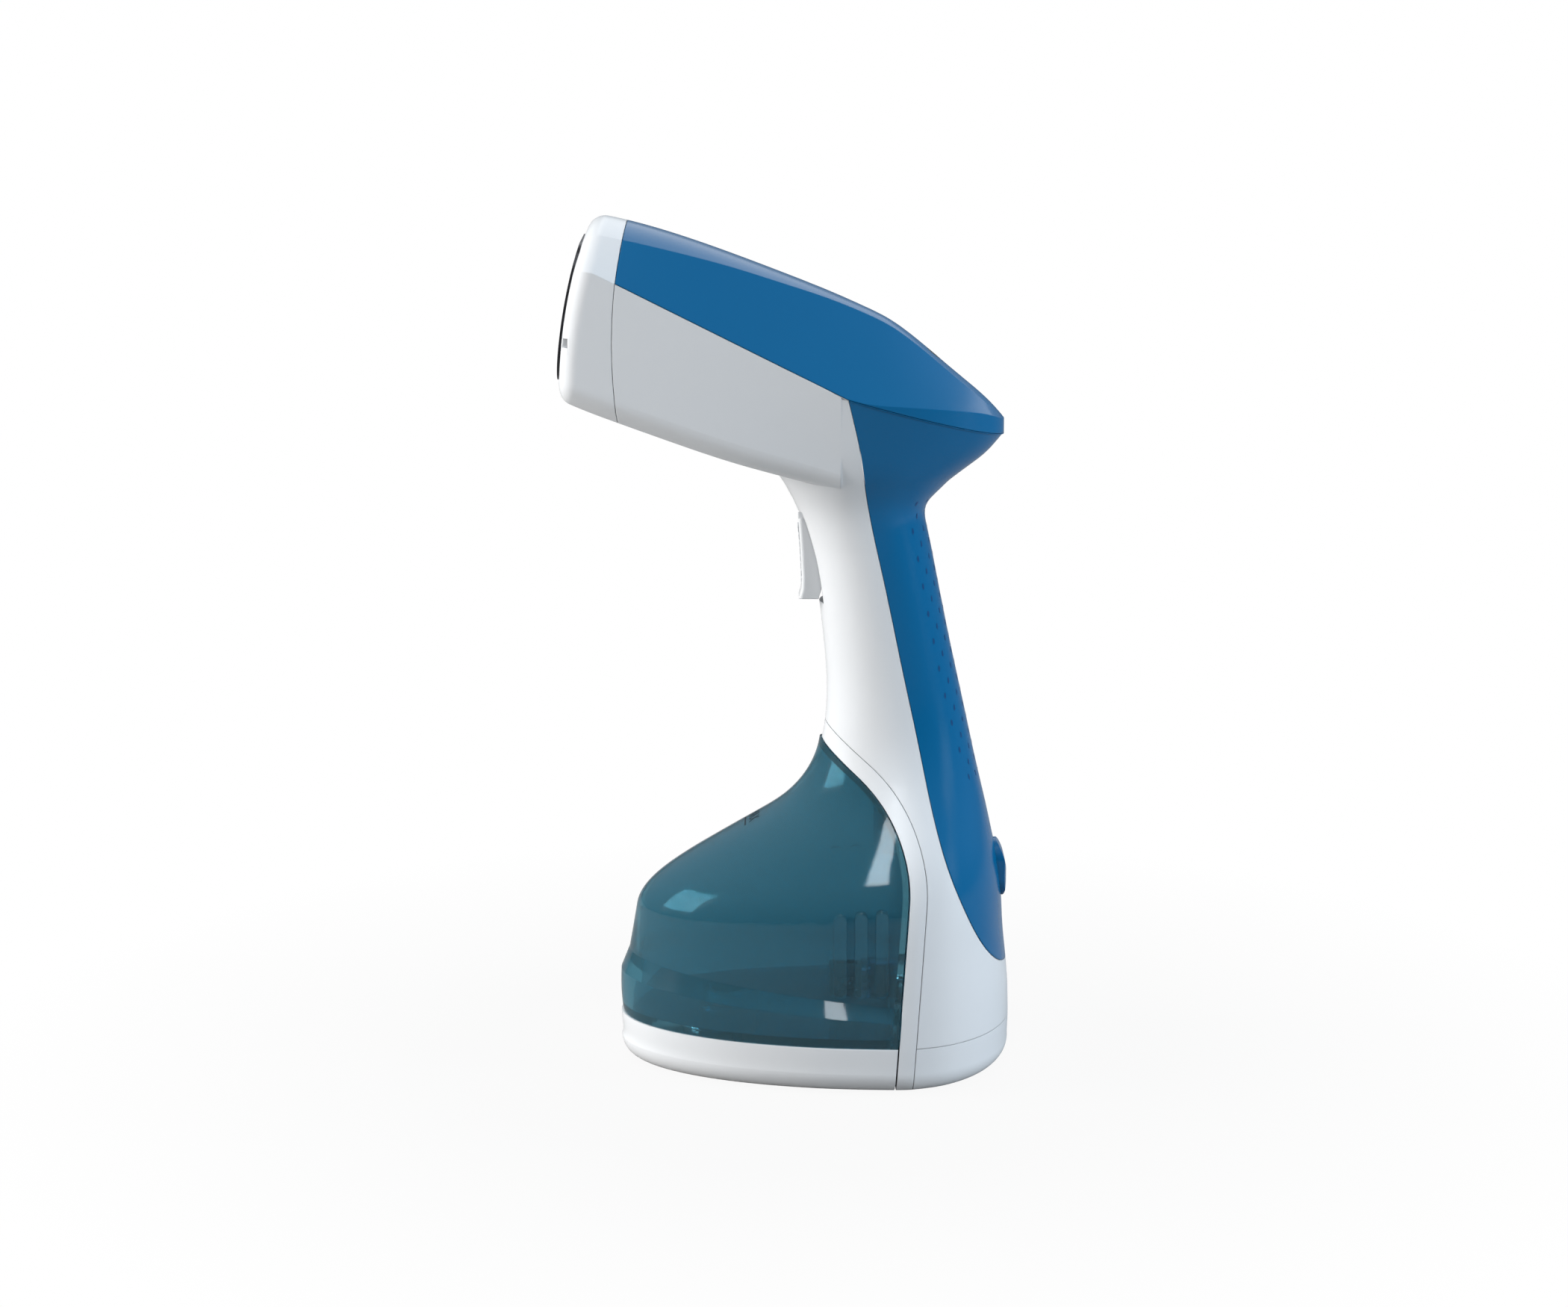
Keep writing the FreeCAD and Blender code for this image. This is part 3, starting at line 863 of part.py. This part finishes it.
def base(outer, inlet):
    """Pump, hoses, board, cord inlet, feet and screws."""
    z = VALVE_HEIGHT
    back = PUMP_FRONT + PUMP_LENGTH
    pump = rod((0, PUMP_FRONT, z), (0, back, z), PUMP_RADIUS)
    pump = pump.fuse(rod((0, PUMP_FRONT - 5.0, z), (0, PUMP_FRONT, z), 3.0))
    outlet_y = back - 5.4
    pump = pump.fuse(rod((PUMP_RADIUS - 1, outlet_y, z), (PUMP_RADIUS + 2.6, outlet_y, z), 1.95))
    pump = pump.cut(rod((0, PUMP_FRONT - 6, z), (0, PUMP_FRONT + 3, z), 1.6))
    pump = pump.cut(rod((0, PUMP_FRONT + 2.0, z), (0, back - 2.0, z), 4.06))
    pump = pump.cut(rod((2, outlet_y, z), (PUMP_RADIUS + 9, outlet_y, z), 1.0))
    save("pump_body", pump)
    save("pump_piston", rod((0, PUMP_FRONT + 2.6, z), (0, PUMP_FRONT + 6.2, z), 4.0))
    cradle = box(-11.5, 11.5, PUMP_FRONT + 1.3, PUMP_FRONT + 5.3, BASE_BAND - 1.5, z)
    cradle = cradle.cut(rod((0, 0, z), (0, 90, z), PUMP_RADIUS + 0.1))
    save("pump_cradle", cradle)

    save("inlet_hose", tube((0, NIPPLE_BACK + 0.5, z), (0, PUMP_FRONT - 0.5, z), 4.2, 3.05))
    approach = V(*inlet) + FreeCAD.Rotation(V(1, 0, 0), -FACE_TILT).multVec(V(0, 14, 0))
    path = [(PUMP_RADIUS + 0.5, outlet_y, z), (22.0, outlet_y, z), (22.0, 50.0, 60.0), (12.0, 36.0, 100.0),
            (11.0, 24.0, 140.0), (11.0, 13.0, 196.0), (approach.x, approach.y, approach.z), inlet]
    save("steam_hose", hose(path, HOSE_OUTER, HOSE_INNER, 9.0))

    board = box(-26.0, -24.4, 36.0, 53.0, 32.0, 66.0)
    save("control_board", board)
    parts = [box(-24.3, -14.0, 37.0, 51.0, 50.0, 63.0), rod((-24.3, 42.0, 40.0), (-13.5, 42.0, 40.0), 4.5),
             box(-24.3, -20.0, 48.0, 52.0, 35.0, 47.0)]
    save("board_parts", *parts)
    loom = [(-19.0, 44.0, 63.6), (-19.0, 44.0, 76.0), (-12.0, 34.0, 104.0), (-11.0, 24.0, 140.0),
            (-11.0, 13.0, 196.0), (-9.0, 2.0, 226.0), (-7.0, -34.0, 246.0)]
    save("wire_loom", hose(loom, 1.8, 0.9, 8.0))

    collar = gland_rod(GLAND_COLLAR).common(outer).cut(gland_rod(CORD_BORE))
    collar = collar.common(box(-9, 9, 54.0, 90, 0, 40))
    save("cord_gland", collar)
    clamp = box(-10.0, 10.0, 46.0, 51.0, FOOT_HEIGHT + WALL + 0.1, GLAND_HEIGHT + 2.0)
    slot = box(-2.6, 2.6, 40, 60, GLAND_HEIGHT, 20)
    save("cord_clamp", clamp.cut(gland_rod(CLAMP_BORE, 40, 60)).cut(slot))

    save("body_feet", *[foot_rod(place) for place in BODY_FEET])
    screws = [rod((-SCREW_SEAT, y, z), (SCREW_DEPTH - 0.4, y, z), SCREW_SHANK).fuse(
        rod((-SCREW_SEAT - 2.0, y, z), (-SCREW_SEAT, y, z), SCREW_HEAD)) for y, z in HOUSING_SCREWS]
    save("housing_screws", *screws)
    seat = FOOT_HEIGHT + 6.0
    screws = []
    for side in (-1, 1):
        x, y = side * BASE_SCREW[0], BASE_SCREW[1]
        shank = rod((x, y, seat - 0.1), (x, y, BASE_BAND + 11.5), SCREW_SHANK)
        screws.append(shank.fuse(rod((x, y, seat - 2.1), (x, y, seat - 0.05), SCREW_HEAD)))
    save("base_screws", *screws)
    save("indicator_lens", lens_hole(0.0).common(outer).cut(box(-9, 9, 0, 90, 150, 238.5)))


OUTER, INNER, CORE = masters()
body_shell(OUTER, INNER, CORE)
bulkhead(OUTER, INNER)
latch()
tank()
HEATER_INLET = nozzle()
handle()
base(OUTER, HEATER_INLET)
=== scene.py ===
"""Looks of the handheld garment steamer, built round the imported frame. Metres, the CAD's own frame."""
import json
import math
import bpy
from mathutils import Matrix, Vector
from mathutils.bvhtree import BVHTree


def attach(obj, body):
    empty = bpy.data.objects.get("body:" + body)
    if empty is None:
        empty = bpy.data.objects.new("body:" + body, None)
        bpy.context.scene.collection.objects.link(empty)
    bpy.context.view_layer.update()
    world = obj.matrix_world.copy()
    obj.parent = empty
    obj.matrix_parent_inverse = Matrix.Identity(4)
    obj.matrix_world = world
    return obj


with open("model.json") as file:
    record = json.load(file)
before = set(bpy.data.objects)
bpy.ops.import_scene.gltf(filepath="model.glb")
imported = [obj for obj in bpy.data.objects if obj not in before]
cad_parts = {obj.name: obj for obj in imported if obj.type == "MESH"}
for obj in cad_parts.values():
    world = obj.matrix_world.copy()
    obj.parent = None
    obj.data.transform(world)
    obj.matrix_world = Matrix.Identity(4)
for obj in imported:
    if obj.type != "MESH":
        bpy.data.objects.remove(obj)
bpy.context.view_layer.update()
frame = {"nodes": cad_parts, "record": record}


# ---------------------------------------------------------------- camera
TARGET = Vector((0.0, -0.0108, 0.142))
DISTANCE = 1.3
ELEVATION = math.radians(12.0)
LENS = 87.58            # millimetres, on a 36 mm sensor


def camera():
    data = bpy.data.cameras.new("camera")
    data.lens = LENS
    data.sensor_width = 36.0
    data.clip_start = 0.05
    cam = bpy.data.objects.new("camera", data)
    cam.location = TARGET + DISTANCE * Vector((math.cos(ELEVATION), 0.0, math.sin(ELEVATION)))
    cam.rotation_euler = (TARGET - cam.location).to_track_quat("-Z", "Y").to_euler()
    bpy.context.collection.objects.link(cam)
    bpy.context.scene.camera = cam


# ---------------------------------------------------------------- node helpers
def srgb(r, g, b):
    def linear(c):
        c /= 255.0
        return c / 12.92 if c <= 0.04045 else ((c + 0.055) / 1.055) ** 2.4
    return (linear(r), linear(g), linear(b), 1.0)


def material(name):
    mat = bpy.data.materials.new(name)
    mat.use_nodes = True
    nodes = mat.node_tree.nodes
    return mat, nodes, mat.node_tree.links, nodes["Principled BSDF"]


def noise(nodes, links, scale, detail=3.0, rough=0.55):
    place = nodes.new("ShaderNodeTexCoord")
    node = nodes.new("ShaderNodeTexNoise")
    node.inputs["Scale"].default_value = scale
    node.inputs["Detail"].default_value = detail
    node.inputs["Roughness"].default_value = rough
    links.new(place.outputs["Object"], node.inputs["Vector"])
    return node


def ranged(nodes, links, source, low, high, into):
    """Maps a 0..1 texture value to low..high and feeds it into a socket."""
    node = nodes.new("ShaderNodeMapRange")
    node.inputs["From Min"].default_value = 0.3
    node.inputs["From Max"].default_value = 0.7
    node.inputs["To Min"].default_value = low
    node.inputs["To Max"].default_value = high
    links.new(source, node.inputs["Value"])
    links.new(node.outputs["Result"], into)


def tinted(nodes, links, source, dark, light, into):
    node = nodes.new("ShaderNodeMix")
    node.data_type = "RGBA"
    node.inputs[6].default_value = dark
    node.inputs[7].default_value = light
    links.new(source, node.inputs[0])
    links.new(node.outputs[2], into)


def surface(name, colour, rough, bump=0.0, bump_scale=900.0, vary=0.04, rough_vary=0.05, metallic=0.0,
            transmission=0.0, ior=1.46, bevel=0.0005, subsurface=0.0, specular=0.5):
    """A moulded or cast surface: slight colour and gloss variation, fine skin and softened edges."""
    mat, nodes, links, shader = material(name)
    shader.inputs["Metallic"].default_value = metallic
    shader.inputs["IOR"].default_value = ior
    shader.inputs["Specular IOR Level"].default_value = specular
    shader.inputs["Transmission Weight"].default_value = transmission
    if subsurface:
        shader.inputs["Subsurface Weight"].default_value = subsurface
        shader.inputs["Subsurface Radius"].default_value = (0.002, 0.002, 0.002)
        shader.inputs["Subsurface Scale"].default_value = 1.0
    cloud = noise(nodes, links, 28.0)
    dark = tuple(c * (1 - vary) for c in colour[:3]) + (1.0,)
    light = tuple(min(1.0, c * (1 + vary)) for c in colour[:3]) + (1.0,)
    tinted(nodes, links, cloud.outputs["Fac"], dark, light, shader.inputs["Base Color"])
    smear = noise(nodes, links, 75.0, 5.0)
    ranged(nodes, links, smear.outputs["Fac"], max(0.02, rough - rough_vary), rough + rough_vary,
           shader.inputs["Roughness"])
    last = None
    if bevel:
        edge = nodes.new("ShaderNodeBevel")
        edge.samples = 4
        edge.inputs["Radius"].default_value = bevel
        last = edge.outputs["Normal"]
    if bump:
        grain = noise(nodes, links, bump_scale, 2.0)
        skin = nodes.new("ShaderNodeBump")
        skin.inputs["Strength"].default_value = bump
        skin.inputs["Distance"].default_value = 0.0002
        links.new(grain.outputs["Fac"], skin.inputs["Height"])
        if last:
            links.new(last, skin.inputs["Normal"])
        last = skin.outputs["Normal"]
    if last:
        links.new(last, shader.inputs["Normal"])
    return mat


def make_materials():
    white = srgb(228, 230, 232)
    blue = srgb(0, 99, 149)
    return {
        "white_plastic": surface("white_gloss", white, 0.24, bump=0.03, vary=0.004, rough_vary=0.012,
                                 specular=0.5,
                                 subsurface=0.05),
        "blue_plastic": surface("blue_gloss", blue, 0.20, bump=0.03, vary=0.02, rough_vary=0.015,
                                specular=0.42),
        "clear_teal": surface("tank_clear", (0.12, 0.40, 0.52, 1.0), 0.05, bump=0.0, vary=0.03,
                              rough_vary=0.02,
                              transmission=0.86, ior=1.45, bevel=0.0004),
        "dark_metal": surface("plate_coated", (0.045, 0.045, 0.05, 1.0), 0.34, bump=0.15,
                              bump_scale=1500, metallic=0.75,
                              vary=0.12),
        "cast_metal": surface("heater_cast", (0.55, 0.56, 0.57, 1.0), 0.46, bump=0.5, bump_scale=500,
                              metallic=0.9),
        "steel": surface("steel_wire", (0.60, 0.61, 0.62, 1.0), 0.27, metallic=1.0, bevel=0.0),
        "dark_rubber": surface("rubber_dark", (0.10, 0.10, 0.105, 1.0), 0.72, bump=0.4, bump_scale=1200,
                               vary=0.15),
        "silicone": surface("silicone_grey", (0.42, 0.44, 0.45, 1.0), 0.55, bump=0.1, subsurface=0.1),
        "grey_plastic": surface("moulded_grey", (0.09, 0.095, 0.10, 1.0), 0.5, bump=0.3, bump_scale=1100,
                                vary=0.1),
        "brass": surface("brass_plain", (0.62, 0.45, 0.18, 1.0), 0.33, metallic=1.0, vary=0.08),
        "board_green": surface("board_mask", (0.012, 0.10, 0.045, 1.0), 0.35, bump=0.1, vary=0.1,
                               bevel=0.0),
        "mark_ink": surface("mark_ink", (0.010, 0.022, 0.03, 1.0), 0.5, vary=0.1, bevel=0.0),
        # the grip dimples' darker blue is painted shade, standing in for the shading of their hollows
        "painted_dimple_shade": surface("painted_grip_dimple_shade", srgb(5, 70, 120), 0.35, vary=0.08, bevel=0.0),
        "pad_soft": surface("trigger_pad_soft", srgb(205, 208, 211), 0.5, bump=0.35, bump_scale=1300,
                            vary=0.03),
    }


MATERIALS = make_materials()


def dress_frame():
    """Every node of the frame gets the material of its slot."""
    slots = {row["node"]: row["material_slot"] for row in frame["record"]["subparts"]}
    special = {"trigger_pad": "pad_soft"}
    for name, obj in frame["nodes"].items():
        mat = MATERIALS[special.get(name, slots[name])]
        if obj.material_slots:
            for slot in obj.material_slots:
                slot.material = mat
        else:
            obj.data.materials.append(mat)


# ---------------------------------------------------------------- pieces
def tree_of(node):
    obj = frame["nodes"][node]
    mesh = obj.data
    points = [obj.matrix_world @ v.co for v in mesh.vertices]
    return BVHTree.FromPolygons(points, [tuple(p.vertices) for p in mesh.polygons])


def add_mesh(name, verts, faces, mat, body, smooth=True):
    mesh = bpy.data.meshes.new(name)
    mesh.from_pydata(verts, [], faces)
    mesh.validate()
    obj = bpy.data.objects.new(name, mesh)
    bpy.context.collection.objects.link(obj)
    obj.data.materials.append(MATERIALS[mat])
    for poly in mesh.polygons:
        poly.use_smooth = smooth
    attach(obj, body)
    return obj


def stroke_letters():
    """The word MAX as strokes in a 1-high box: each letter is a list of (x, y) runs."""
    return [
        (0.0, [[(0, 0), (0, 1), (0.4, 0.35), (0.8, 1), (0.8, 0)]]),
        (1.15, [[(0, 0), (0.4, 1), (0.8, 0)], [(0.15, 0.36), (0.65, 0.36)]]),
        (2.3, [[(0, 0), (0.75, 1)], [(0, 1), (0.75, 0)]]),
    ]


def ribbon(points, width, drop, verts, faces):
    """A flat stroke through (x, y) points, cut short and laid on the surface by drop()."""
    for (ax, ay), (bx, by) in zip(points, points[1:]):
        length = math.hypot(bx - ax, by - ay)
        count = max(2, int(length / 0.0004))
        nx, ny = -(by - ay) / length * width / 2, (bx - ax) / length * width / 2
        ux, uy = (bx - ax) / length * width / 2, (by - ay) / length * width / 2
        first = len(verts)
        for i in range(count + 1):
            t = i / count
            x, y = ax - ux + (bx - ax + 2 * ux) * t, ay - uy + (by - ay + 2 * uy) * t
            verts.append(drop(x + nx, y + ny))
            verts.append(drop(x - nx, y - ny))
        for i in range(count):
            k = first + 2 * i
            faces.append((k, k + 2, k + 3, k + 1))


MARK_HEIGHT = 0.0030     # of the letters
MARK_FOOT = -0.0225      # where the letters stand, along Y
MARK_STROKE = 0.00055
LINE_STROKE = 0.0004
PRINT_LIFT = 0.00006     # how far the ink stands off the plastic


def max_mark():
    """The fill mark: the word and its line, printed on the front slope of the tank."""
    tree = tree_of("tank_shell")

    def drop(x, y):
        hit = tree.ray_cast(Vector((x, y, 0.2)), Vector((0, 0, -1)))
        return tuple(hit[0] + hit[1] * (PRINT_LIFT if hit[1].z > 0 else -PRINT_LIFT))

    verts, faces = [], []
    width = 3.05 * MARK_HEIGHT
    for offset, runs in stroke_letters():
        for run in runs:
            points = [((offset + x) * MARK_HEIGHT - width / 2, MARK_FOOT + y * MARK_HEIGHT) for x, y in run]
            ribbon(points, MARK_STROKE, drop, verts, faces)
    line_end, line_y = width / 2 + 0.001, MARK_FOOT - 0.0016
    ribbon([(-line_end, line_y), (line_end, line_y)], LINE_STROKE, drop, verts, faces)
    add_mesh("max_mark", verts, faces, "mark_ink", "tank", smooth=False)


DIMPLE_COLUMNS = (-0.0130, -0.0104, -0.0070, -0.0035, 0.0, 0.0035, 0.0070, 0.0104, 0.0130)
DIMPLE_TOP = 0.196
DIMPLE_FOOT = 0.098
DIMPLE_PITCH = 0.0094
DIMPLE_HALF_WIDTH = 0.0005
DIMPLE_HALF_HEIGHT = 0.00105
DIMPLE_SIDES = 12


def painted_shade_dimples():
    """Staggered rows of near-flat oval marks across the back of the handle; their darker blue is painted
    shade of the grip's dimples.
    """
    tree = tree_of("rear_cover")
    verts, faces = [], []
    for number, x in enumerate(DIMPLE_COLUMNS):
        z = DIMPLE_TOP - (DIMPLE_PITCH / 2 if number % 2 else 0.0)
        while z > DIMPLE_FOOT:
            hit = tree.ray_cast(Vector((x, 0.12, z)), Vector((0, -1, 0)))
            if hit[0] is not None:
                normal = hit[1] if hit[1].y > 0 else -hit[1]
                across = Vector((0, 0, 1)).cross(normal).normalized()
                up = normal.cross(across).normalized()
                centre = hit[0] + normal * 0.00005
                first = len(verts)
                verts.append(tuple(centre + normal * 0.00004))
                for i in range(DIMPLE_SIDES):
                    turn = 2 * math.pi * i / DIMPLE_SIDES
                    aside = across * DIMPLE_HALF_WIDTH * math.cos(turn)
                    verts.append(tuple(centre + aside + up * DIMPLE_HALF_HEIGHT * math.sin(turn)))
                for i in range(DIMPLE_SIDES):
                    faces.append((first, first + 1 + i, first + 1 + (i + 1) % DIMPLE_SIDES))
            z -= DIMPLE_PITCH
    add_mesh("painted_shade_dimples", verts, faces, "painted_dimple_shade", "body")


# ---------------------------------------------------------------- stage and light
def stage():
    size = 6.0
    mesh = bpy.data.meshes.new("floor")
    corners = [(-size, -size, 0), (size, -size, 0), (size, size, 0), (-size, size, 0)]
    mesh.from_pydata(corners, [], [(0, 1, 2, 3)])
    floor = bpy.data.objects.new("floor", mesh)
    bpy.context.collection.objects.link(floor)
    mat, nodes, links, shader = material("floor_pale")
    shader.inputs["Base Color"].default_value = (0.34, 0.33, 0.32, 1.0)
    shader.inputs["Roughness"].default_value = 0.7
    glow = nodes.new("ShaderNodeEmission")
    glow.inputs["Color"].default_value = (1, 1, 1, 1)
    glow.inputs["Strength"].default_value = 1.0
    path = nodes.new("ShaderNodeLightPath")
    place = nodes.new("ShaderNodeTexCoord")
    length = nodes.new("ShaderNodeVectorMath")
    length.operation = "LENGTH"
    links.new(place.outputs["Object"], length.inputs[0])
    fade = nodes.new("ShaderNodeMapRange")
    fade.inputs["From Min"].default_value = 0.12
    fade.inputs["From Max"].default_value = 0.30
    fade.inputs["To Min"].default_value = 0.93
    fade.inputs["To Max"].default_value = 1.0
    links.new(length.outputs["Value"], fade.inputs["Value"])
    share = nodes.new("ShaderNodeMath")
    share.operation = "MULTIPLY"
    links.new(path.outputs["Is Camera Ray"], share.inputs[0])
    links.new(fade.outputs["Result"], share.inputs[1])
    mix = nodes.new("ShaderNodeMixShader")
    links.new(share.outputs["Value"], mix.inputs[0])
    links.new(shader.outputs["BSDF"], mix.inputs[1])
    links.new(glow.outputs["Emission"], mix.inputs[2])
    links.new(mix.outputs["Shader"], nodes["Material Output"].inputs["Surface"])
    floor.data.materials.append(mat)


def area(name, place, aim, width, height, power, colour=(1, 1, 1), mirrored=True):
    data = bpy.data.lights.new(name, "AREA")
    data.shape = "RECTANGLE"
    data.size, data.size_y = width, height
    data.energy = power
    data.color = colour
    lamp = bpy.data.objects.new(name, data)
    lamp.location = place
    lamp.rotation_euler = (Vector(aim) - Vector(place)).to_track_quat("-Z", "Y").to_euler()
    lamp.visible_glossy = mirrored
    bpy.context.collection.objects.link(lamp)


def light():
    """Soft daylight: bright sky, dark ground, a key from the front and a cool window from behind."""
    world = bpy.data.worlds.new("world")
    bpy.context.scene.world = world
    world.use_nodes = True
    nodes, links = world.node_tree.nodes, world.node_tree.links
    base = nodes["Background"]
    place = nodes.new("ShaderNodeTexCoord")
    split = nodes.new("ShaderNodeSeparateXYZ")
    links.new(place.outputs["Generated"], split.inputs[0])
    ramp = nodes.new("ShaderNodeValToRGB")
    rise = nodes.new("ShaderNodeMapRange")
    rise.inputs["From Min"].default_value = -1.0
    rise.inputs["From Max"].default_value = 1.0
    links.new(split.outputs["Z"], rise.inputs["Value"])
    links.new(rise.outputs["Result"], ramp.inputs["Fac"])
    stops = ramp.color_ramp.elements
    stops[0].position, stops[0].color = 0.0, (0.07, 0.06, 0.055, 1)
    stops[1].position, stops[1].color = 1.0, (0.80, 0.86, 0.90, 1)
    between = ((0.46, (0.12, 0.11, 0.10, 1)), (0.56, (0.42, 0.46, 0.50, 1)), (0.78, (0.72, 0.80, 0.88, 1)))
    for where, colour in between:
        stops.new(where).color = colour
    # the side of the room towards +X is the dim one
    dim = nodes.new("ShaderNodeMapRange")
    dim.inputs["From Min"].default_value = -0.2
    dim.inputs["From Max"].default_value = 1.0
    dim.inputs["To Min"].default_value = 1.0
    dim.inputs["To Max"].default_value = 0.35
    links.new(split.outputs["X"], dim.inputs["Value"])
    room = nodes.new("ShaderNodeVectorMath")
    room.operation = "SCALE"
    links.new(ramp.outputs["Color"], room.inputs[0])
    links.new(dim.outputs["Result"], room.inputs["Scale"])
    links.new(room.outputs["Vector"], base.inputs["Color"])
    base.inputs["Strength"].default_value = 0.56
    seen = nodes.new("ShaderNodeBackground")
    seen.inputs["Color"].default_value = (1, 1, 1, 1)
    seen.inputs["Strength"].default_value = 1.0
    path = nodes.new("ShaderNodeLightPath")
    mix = nodes.new("ShaderNodeMixShader")
    links.new(path.outputs["Is Camera Ray"], mix.inputs[0])
    links.new(base.outputs["Background"], mix.inputs[1])
    links.new(seen.outputs["Background"], mix.inputs[2])
    links.new(mix.outputs["Shader"], nodes["World Output"].inputs["Surface"])
    area("key", (0.20, -1.45, 0.62), (0, 0, 0.12), 0.8, 0.8, 28.0, (1.0, 0.98, 0.96), mirrored=False)
    area("window", (0.40, 1.35, 0.55), (0, 0, 0.10), 0.4, 0.7, 15.0, (0.78, 0.89, 1.0), mirrored=False)
    area("skylight", (0.80, -0.10, 1.35), (0, 0, 0.10), 0.14, 1.3, 5.5, (0.92, 0.96, 1.0))
    area("back", (-1.2, 0.3, 1.2), (0, 0, 0.15), 1.2, 1.2, 4.0)


camera()
dress_frame()
max_mark()
painted_shade_dimples()
stage()
light()
bpy.context.scene.view_settings.view_transform = "Standard"
